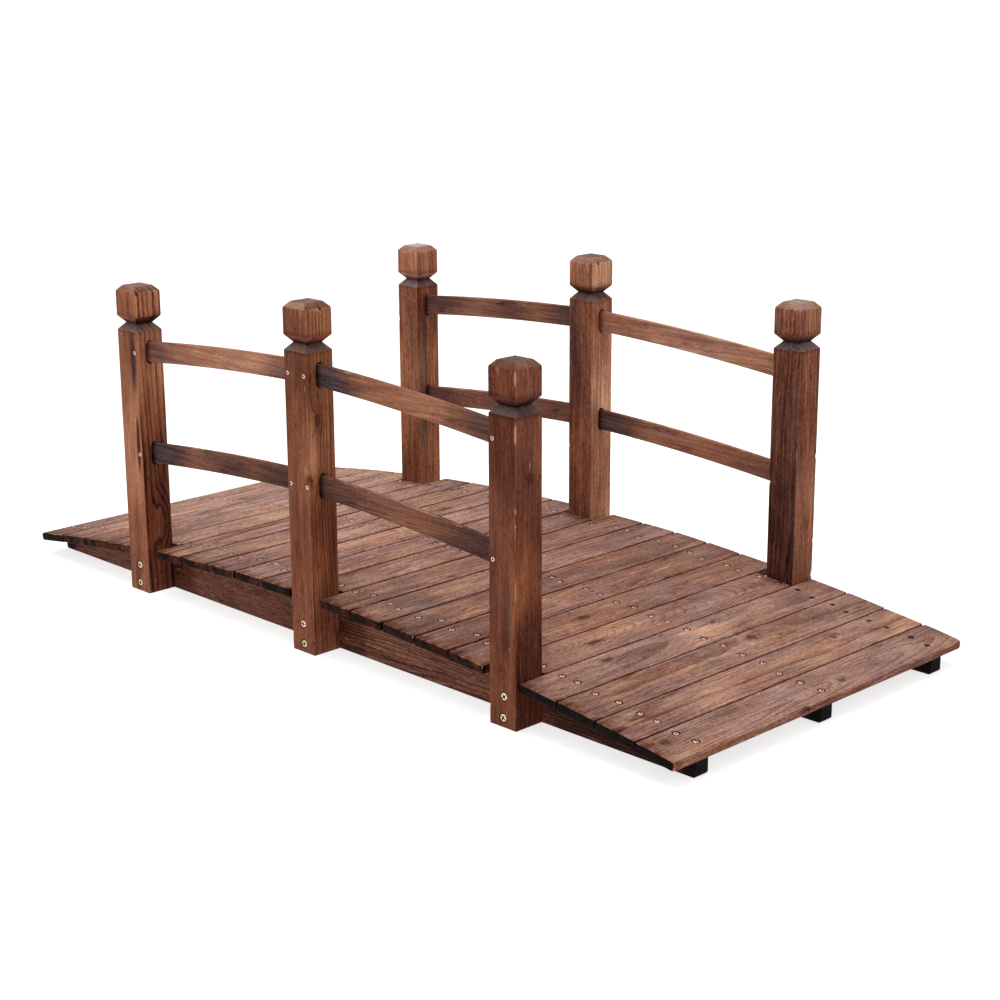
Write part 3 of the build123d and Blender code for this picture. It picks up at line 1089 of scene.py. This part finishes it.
def post_groove(look, m, levels, sideways, dark):
    """The groove under the head, with soot and smoke, and painted light and shade on its slopes."""
    w = m.w
    shoulder, head_foot, _ = levels
    deepest = shoulder + GROOVE / 2
    groove = m.z.window(shoulder - 0.0003, shoulder + 0.0006, head_foot - 0.0010,
                        head_foot + 0.0010)
    upward, downward = groove * m.nz.ramp(0.1, 0.5), groove * m.nz.ramp(-0.1, -0.5)
    mottle = w.grain(m.point, 60.0, 60.0) * 0.07
    slopes = sideways.ramp(-0.2, 0.2)
    # painted light and shade: the upward slope takes a lighter tone and the slope under the head a
    # darker one, as they show under the light
    for mask, luminances in ((upward, look.up), (downward, look.under)):
        wanted = mottle + slopes.line(0.0, 1.0, *map(tone, luminances))
        m.value += mask * (wanted - m.value)
    fade = m.z.window(shoulder - 0.009, shoulder, head_foot, head_foot + 0.010) * (1.0 - groove)
    # char deepens towards the groove's floor; under the head it is partly painted shade, and the
    # upward slope's grey smoke is partly painted sheen
    m.char = w.high(dark, downward * m.z.ramp(head_foot, deepest, 0.22, 0.70), fade * 0.20,
                    upward * m.z.ramp(shoulder + 0.0085, deepest, 0.0, 0.6))
    m.smoke = w.high(m.smoke, upward * 1.2, fade * 0.6, downward * 0.5)


def post_wear(look, m, levels):
    """Worn arrises and cap edge, paler drips down the head, and end grain on the cap."""
    w = m.w
    shoulder, head_foot, cap_edge = levels
    up_cap = m.z - cap_edge
    shaft = m.z.ramp(shoulder - 0.002, shoulder - 0.006)
    head = m.z.window(head_foot + 0.001, head_foot + 0.003, cap_edge - 0.001, cap_edge - 0.0004)
    lip = up_cap.window(-0.0022, -0.0006, 0.0003, 0.0014)
    m.wear = w.high(m.arrises() * w.high(shaft * 0.5, head * 0.6), lip * 0.45)
    drips = w.grain(m.point, 130.0, 12.0).ramp(-0.2, 0.9, 0.0, 0.14)
    m.value += up_cap.window(-0.022, 0.0, 0.0, 0.001) * drips
    flat_top = m.nz.ramp(0.85, 0.95)
    m.value += flat_top * (tone(look.top[0]) - m.value)
    m.end = up_cap.ramp(0.0, 0.0008) * m.nz.ramp(0.1, 0.4) * (flat_top * 0.5 + 0.45)


def post_material(name, seed):
    look = POST_LOOKS[name]
    centre, height, _ = post_frame(name)
    m = TimberMaterial(f"post_{name}_wood", "post", centre, UPRIGHT, seed)
    levels = post_levels(height)
    shoulder, head_foot, cap_edge = levels

    def face_tones(luminances, chamfer):
        *shaft, head = (tone(v) for v in luminances)
        return m.z.steps(*zip(SHAFT_ZONES, shaft), (shoulder, shaft[-1]), (head_foot, head),
                         (cap_edge, head), (cap_edge + 0.0008, tone(chamfer)))

    # painted light and shade: each facing of the post takes the tone it shows under the light
    front, side = map(face_tones, (look.front, look.side), look.top[1:])
    sideways = abs(m.nx) - abs(m.ny)
    toward_x = sideways.ramp(-0.3, 0.3)
    m.value = front + toward_x * (side - front)
    *face_lines, head_lines = look.lines
    lines = toward_x.line(0.0, 1.0, *face_lines)
    lines += m.z.ramp(shoulder, head_foot, 0.0, head_lines) * toward_x.line(0.0, 1.0, 0.3, 1.0)
    post_features(name, m)
    post_groove(look, m, levels, sideways, post_soot_and_shade(name, m))
    post_wear(look, m, levels)
    far = name.startswith("back")
    return m.finish(lines=lines, streaks=1.5 if far else 1.0, fine=1.7 if far else 1.1,
                    patches=1.0, drift=0.7, haze=look.haze, spacing=look.spacing,
                    pith=look.pith)


for i, name in enumerate(POST_LOOKS):
    carve("timber_post_" + name, "post_" + name, post_mesh(name), post_cutter(name),
          post_material(name, 500 + i))


# ---------------------------------------------------------------- rails
# Luminance, then the smoke near its left end, at its middle and near its right end, and haze
RAIL_LOOKS = {
    "front_left_upper": (121, 0.75, 0.0, 1.0, 0.2),
    "front_left_lower": (93, 1.5, 0.8, 1.1, 0.9),
    "front_right_upper": (99, 1.45, 0.0, 0.9, 0.35),
    "front_right_lower": (81, 0.9, 0.0, 0.75, 0.4),
    "back_left_upper": (104, 0.7, 0.3, 0.8, 0.5),
    "back_left_lower": (104, 0.7, 0.2, 0.6, 0.5),
    "back_right_upper": (128, 0.2, 0.0, 0.1, 0.15),
    "back_right_lower": (108, 1.1, 0.1, 0.4, 0.25),
}


def rail_material(name, look, seed):
    luminance, at_left, at_middle, at_right, haze = look
    centre, box_half = middle(*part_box(name))
    m = TimberMaterial(name + "_wood", "rail", centre, ALONG, seed)
    w, rng = m.w, m.rng
    half = box_half[0] - MORTISE[0]
    m.char = abs(m.z).ramp(half - 0.012, half + 0.001, 0.0, 0.55)
    for place, strength in ((-half + 0.02, at_left), (rng.uniform(-0.05, 0.05), at_middle),
                            (half - 0.02, at_right)):
        cloud = m.spot((0.0, rng.uniform(-0.01, 0.01), place),
                       (1.0, 0.06, rng.uniform(0.10, 0.15)), strength, 0.0)
        m.smoke = w.high(m.smoke, cloud)
    m.value = tone(luminance + 6) - m.smoke * 0.12
    m.wear = w.high(m.arrises(), m.nz.ramp(0.35, 0.8, 0.0, 0.5)) * 0.5
    return m.finish(lines=0.35, streaks=1.0, fine=1.1, patches=1.3, drift=0.7, haze=haze * 0.9,
                    spacing=rng.uniform(0.004, 0.006))


for i, (name, look) in enumerate(RAIL_LOOKS.items()):
    dress("rail_" + name, rail_material("rail_" + name, look, 700 + i))


# ---------------------------------------------------------------- screws
def plain_material(name, colour, speckle, roughness, metallic=1.0):
    material, w = new_material(name)
    spots = w.noise(w.field("TexCoord", out="Object"), 700.0, 3.0, 0.6)
    w.surface(w.mix(spots.ramp(0.42, 0.66), colour, speckle),
              spots.line(0.3, 0.7, roughness - 0.08, roughness + 0.12), spots, 0.4, 0.0002,
              Metallic=metallic)
    return material


SCREW_METAL = plain_material("screw_metal", srgb(250, 224, 192), srgb(190, 150, 112), 0.36)
SCREW_DULL = plain_material("screw_metal_dull", srgb(226, 186, 168), srgb(150, 108, 90), 0.42)
SCREW_SOOTY = plain_material("screw_metal_sooty", srgb(60, 44, 36), srgb(26, 18, 15), 0.5)
# painted shade: a dark, matt skin for the screw heads' cross recesses
SCREW_HOLLOW_SHADE = plain_material("screw_hollow_shade", srgb(30, 22, 17), srgb(14, 10, 9), 0.8, 0.0)
BRIGHT, SOOTY, PAINTED_SHADE_SLOT = range(3)        # a screw object's material slots
SPOKES = 24
ARM_WIDTH = 0.20                        # half width of the cross recess, in head radii
ARM_REACH = 0.70


def screw_head(mesh, place, outward, radius, turn, skin):
    """A countersunk head, slightly domed, with a tapered cross recess."""
    outward = Vector(outward).normalized()
    side = outward.orthogonal().normalized()
    upward = outward.cross(side)
    side, upward = (side * math.cos(turn) + upward * math.sin(turn),
                    upward * math.cos(turn) - side * math.sin(turn))

    def point(u, v, lift):
        return mesh.verts.new(place + ((side * u + upward * v) + outward * lift) * radius)

    def circle(share, lift):
        return [point(share * math.cos(2 * math.pi * k / SPOKES),
                      share * math.sin(2 * math.pi * k / SPOKES), lift) for k in range(SPOKES)]

    def cross(width, reach, lift):
        corners = []
        for arm in range(4):
            c, s = math.cos(arm * math.pi / 2), math.sin(arm * math.pi / 2)
            for u, v in ((reach, -width), (reach, width), (width, width)):
                corners.append(point(u * c - v * s, u * s + v * c, lift))
        return corners

    skirt, rim, dome = circle(0.72, -0.42), circle(1.0, -0.02), circle(0.93, 0.06)
    sleeve(mesh, (skirt, rim, dome), skin)
    mouth = cross(ARM_WIDTH, ARM_REACH, 0.11)
    quarter = SPOKES // 4
    for arm in range(4):
        right, left, notch = mouth[3 * arm:3 * arm + 3]
        following = mouth[(3 * arm + 3) % 12]
        tip = [dome[(arm * quarter + k) % SPOKES] for k in (-1, 0, 1)]
        flank = [dome[(arm * quarter + k) % SPOKES] for k in range(1, quarter)]
        for ring in (tip + [left, right], flank + [following, notch, left]):
            mesh.faces.new(ring).material_index = skin
    # the cross recess is skinned dark, as painted shade
    floor_of_cross = cross(ARM_WIDTH * 0.55, ARM_REACH * 0.62, -0.34)
    sleeve(mesh, (mouth, floor_of_cross), PAINTED_SHADE_SLOT)
    mesh.faces.new(floor_of_cross).material_index = PAINTED_SHADE_SLOT


def screw_set(name, heads, metal):
    """One object holding screw heads: (place, outward, radius, skin)."""
    rng = random.Random(name)
    mesh = bmesh.new()
    for place, outward, radius, skin in heads:
        screw_head(mesh, place, outward, radius, rng.uniform(0, math.pi / 2), skin)
    bmesh.ops.recalc_face_normals(mesh, faces=mesh.faces)
    new_piece(name, mesh, (metal, SCREW_SOOTY, SCREW_HOLLOW_SHADE))


def deck_screw_sets():
    rng = random.Random(31)
    for line, row in enumerate(("front", "middle", "back")):
        heads = []
        for index in range(PLANK_COUNT):
            centre, axes, _ = plank_frame(index)
            for k in (2 * line, 2 * line + 1):
                across, along = DECK_SCREWS[index][k]
                size = screw_scale(index, k)
                sunk = rng.uniform(0.0004, 0.0009)
                top = (centre + axes[0] * across - axes[1] * (PLANK_THICK / 2 - sunk)
                       + axes[2] * along)
                heads.append((top, -axes[1], DECK_HEAD * size, BRIGHT if size == 1.0 else SOOTY))
        screw_set(f"deck_screws_{row}", heads, SCREW_DULL)


def post_screw_sets():
    for side in SIDES:
        heads = {POST_HEAD: [], RAIL_HEAD: []}
        for station in STATIONS:
            for place, outward, radius in post_screws(f"{side}_{station}"):
                sunk = place - outward * (0.0002 + radius * 0.11)
                heads[radius].append((sunk, outward, radius, BRIGHT))
        screw_set(f"post_screws_{side}", heads[POST_HEAD], SCREW_METAL)
        screw_set(f"rail_screws_{side}", heads[RAIL_HEAD], SCREW_METAL)


deck_screw_sets()
post_screw_sets()


# ---------------------------------------------------------------- floor, light and camera
WHITE = (1.0, 1.0, 1.0, 1.0)
SHEET_GREY = (0.42, 0.42, 0.42, 1.0)
FLOOR_GLOW = 0.74                       # a light table: the sheet is lit from below as well
SHEET_SIZE = 60.0
SURROUND = 0.85                         # the strength of the light from all round
LAMP_PLACE = (-0.3, 0.2, 3.0)
LAMP_SIZE = (3.2, 2.4)
LAMP_POWER = 105.0
CAMERA_PLACE = (2.2927, -2.16045, 1.05205)
CAMERA_TURN = (-45.525, -15.517, -0.289)    # yaw, pitch and roll, in degrees
LENS = 71.81                            # in mm, for a sensor 36 mm wide


def floor_material():
    material, w = new_material("floor_white")
    w.surface(SHEET_GREY, 1.0, Specular_IOR_Level=0.0, Emission_Color=WHITE,
              Emission_Strength=FLOOR_GLOW)
    return material


def make_floor():
    mesh = bmesh.new()
    bmesh.ops.create_grid(mesh, x_segments=1, y_segments=1, size=SHEET_SIZE)
    floor = add_mesh("floor", mesh, [floor_material()])
    floor.location.z = -0.0002


def make_light():
    """A large softbox over the bridge, facing its middle."""
    lamp = bpy.data.lights.new("top_softbox", "AREA")
    lamp.shape = "RECTANGLE"
    lamp.size, lamp.size_y = LAMP_SIZE
    lamp.energy = LAMP_POWER
    ob = add_object("top_softbox", lamp)
    ob.location = LAMP_PLACE
    ob.rotation_euler = (-Vector(LAMP_PLACE)).to_track_quat("-Z", "Y").to_euler()


def make_camera():
    yaw, pitch, roll = (math.radians(a) for a in CAMERA_TURN)
    camera = bpy.data.cameras.new("camera")
    camera.lens = LENS
    camera.sensor_width = 36.0
    camera.clip_end = 200.0
    ob = add_object("camera", camera)
    ob.matrix_world = (Matrix.Translation(CAMERA_PLACE) @ Matrix.Rotation(-yaw, 4, "Z")
                       @ Matrix.Rotation(math.pi / 2 + pitch, 4, "X")
                       @ Matrix.Rotation(roll, 4, "Z"))
    bpy.context.scene.camera = ob


def make_world():
    world = bpy.data.worlds.new("studio")
    world.use_nodes = True
    back = world.node_tree.nodes["Background"]
    back.inputs["Color"].default_value = WHITE
    back.inputs["Strength"].default_value = SURROUND
    bpy.context.scene.world = world


make_floor()
make_world()
make_light()
make_camera()
bpy.context.scene.view_settings.view_transform = "Standard"
